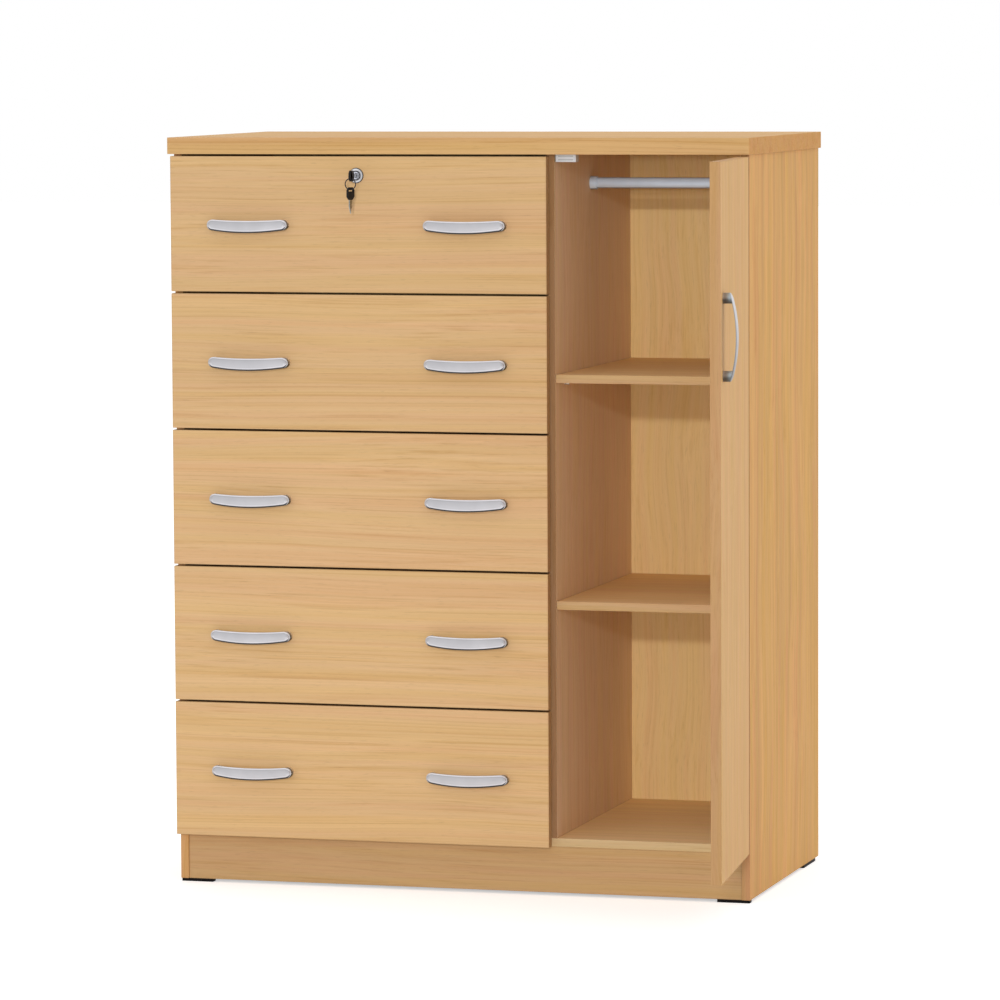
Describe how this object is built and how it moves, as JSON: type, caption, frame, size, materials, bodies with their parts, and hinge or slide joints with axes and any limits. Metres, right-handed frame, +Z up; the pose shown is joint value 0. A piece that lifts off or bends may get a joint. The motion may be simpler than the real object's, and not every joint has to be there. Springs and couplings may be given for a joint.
{
  "type": "chifforobe",
  "caption": "Low wood-look wardrobe chest: full-width lockable drawers on the left, a shelved bay with a hanging rail behind a hinged door on the right, plinth base.",
  "frame": {"origin": "on the floor, in the middle of the carcass's footprint, at the underside of the centre glide", "axes": "+X to the right seen from the front, +Y to the back, +Z up"},
  "size_m": [0.9139, 0.7346, 1.092],
  "materials": {
    "carcass_wood": "satin beech foil on particle board",
    "front_wood": "satin beech foil on particle board",
    "back_board": "printed beech hardboard",
    "drawer_box_wood": "satin beech foil",
    "runner_wood": "planed hardwood",
    "handle_metal": "satin silver",
    "rail_metal": "satin silver",
    "hinge_steel": "nickel plated",
    "lock_chrome": "polished",
    "lock_steel": "zinc plated",
    "key_black_bow": "black bow on a plated blade",
    "catch_grey": "light grey",
    "glide_black": "black"
  },
  "bodies": {
    "cabinet": {"left_side_panel": "carcass_wood", "right_side_panel": "carcass_wood", "partition_panel": "carcass_wood", "bottom_panel": "carcass_wood", "top_panel": "carcass_wood", "left_back_panel": "back_board", "right_back_panel": "back_board", "plinth_front": "carcass_wood", "plinth_rear": "carcass_wood", "plinth_centre": "carcass_wood", "floor_glides": "glide_black", "lower_shelf": "carcass_wood", "upper_shelf": "carcass_wood", "shelf_pins": "hinge_steel", "hanging_rail": "rail_metal", "rail_sockets": "rail_metal", "magnetic_catch": "catch_grey", "hinge_arms": "hinge_steel", "cabinet_runners": "runner_wood"},
    "door": {"door_panel": "front_wood", "door_handle": "handle_metal", "hinge_cups": "hinge_steel", "strike_plate": "hinge_steel"},
    "hinge_links": {"hinge_links": "hinge_steel"},
    "drawer_1": {"drawer_1_front": "front_wood", "drawer_1_left_side": "drawer_box_wood", "drawer_1_right_side": "drawer_box_wood", "drawer_1_back": "drawer_box_wood", "drawer_1_bottom": "drawer_box_wood", "drawer_1_handles": "handle_metal", "lock_housing": "lock_chrome"},
    "drawer_2": {"drawer_2_front": "front_wood", "drawer_2_left_side": "drawer_box_wood", "drawer_2_right_side": "drawer_box_wood", "drawer_2_back": "drawer_box_wood", "drawer_2_bottom": "drawer_box_wood", "drawer_2_handles": "handle_metal"},
    "drawer_3": {"drawer_3_front": "front_wood", "drawer_3_left_side": "drawer_box_wood", "drawer_3_right_side": "drawer_box_wood", "drawer_3_back": "drawer_box_wood", "drawer_3_bottom": "drawer_box_wood", "drawer_3_handles": "handle_metal"},
    "drawer_4": {"drawer_4_front": "front_wood", "drawer_4_left_side": "drawer_box_wood", "drawer_4_right_side": "drawer_box_wood", "drawer_4_back": "drawer_box_wood", "drawer_4_bottom": "drawer_box_wood", "drawer_4_handles": "handle_metal"},
    "drawer_5": {"drawer_5_front": "front_wood", "drawer_5_left_side": "drawer_box_wood", "drawer_5_right_side": "drawer_box_wood", "drawer_5_back": "drawer_box_wood", "drawer_5_bottom": "drawer_box_wood", "drawer_5_handles": "handle_metal"},
    "lock_barrel": {"lock_plug": "lock_chrome", "lock_cam": "lock_steel", "lock_key": "key_black_bow"},
    "key_ring": {"key_ring": "lock_steel"},
    "spare_key": {"spare_key": "key_black_bow"}
  },
  "joints": [
    {"name": "door_hinge", "type": "hinge", "parent": "cabinet", "child": "door", "pos_m": [0.4245, -0.23075, 0.072], "axis": [0, 0, 1], "range_deg": [-96, 0]},
    {"name": "hinge_link_turn", "type": "hinge", "parent": "cabinet", "child": "hinge_links", "pos_m": [0.4105, -0.21875, 0.072], "axis": [0, 0, 1], "range_deg": [-72, 1]},
    {"name": "drawer_1_slide", "type": "slide", "parent": "cabinet", "child": "drawer_1", "axis": [0, -1, 0], "range_m": [0, 0.3]},
    {"name": "drawer_2_slide", "type": "slide", "parent": "cabinet", "child": "drawer_2", "axis": [0, -1, 0], "range_m": [0, 0.3]},
    {"name": "drawer_3_slide", "type": "slide", "parent": "cabinet", "child": "drawer_3", "axis": [0, -1, 0], "range_m": [0, 0.3]},
    {"name": "drawer_4_slide", "type": "slide", "parent": "cabinet", "child": "drawer_4", "axis": [0, -1, 0], "range_m": [0, 0.3]},
    {"name": "drawer_5_slide", "type": "slide", "parent": "cabinet", "child": "drawer_5", "axis": [0, -1, 0], "range_m": [0, 0.3]},
    {"name": "lock_turn", "type": "hinge", "parent": "drawer_1", "child": "lock_barrel", "pos_m": [-0.1465, -0.2392, 1.0375], "axis": [0, 1, 0], "range_deg": [0, 90]},
    {"name": "key_ring_swing", "type": "hinge", "parent": "lock_barrel", "child": "key_ring", "pos_m": [-0.1465, -0.265, 1.03087], "axis": [0, 1, 0], "range_deg": [-90, 90]},
    {"name": "spare_key_swing", "type": "hinge", "parent": "key_ring", "child": "spare_key", "pos_m": [-0.1465, -0.265, 1.0181], "axis": [1, 0, 0], "range_deg": [-60, 40]}
  ],
  "couplings": [
    {"joint": "hinge_link_turn", "follows": "door_hinge", "ratio": 0.73333}
  ]
}
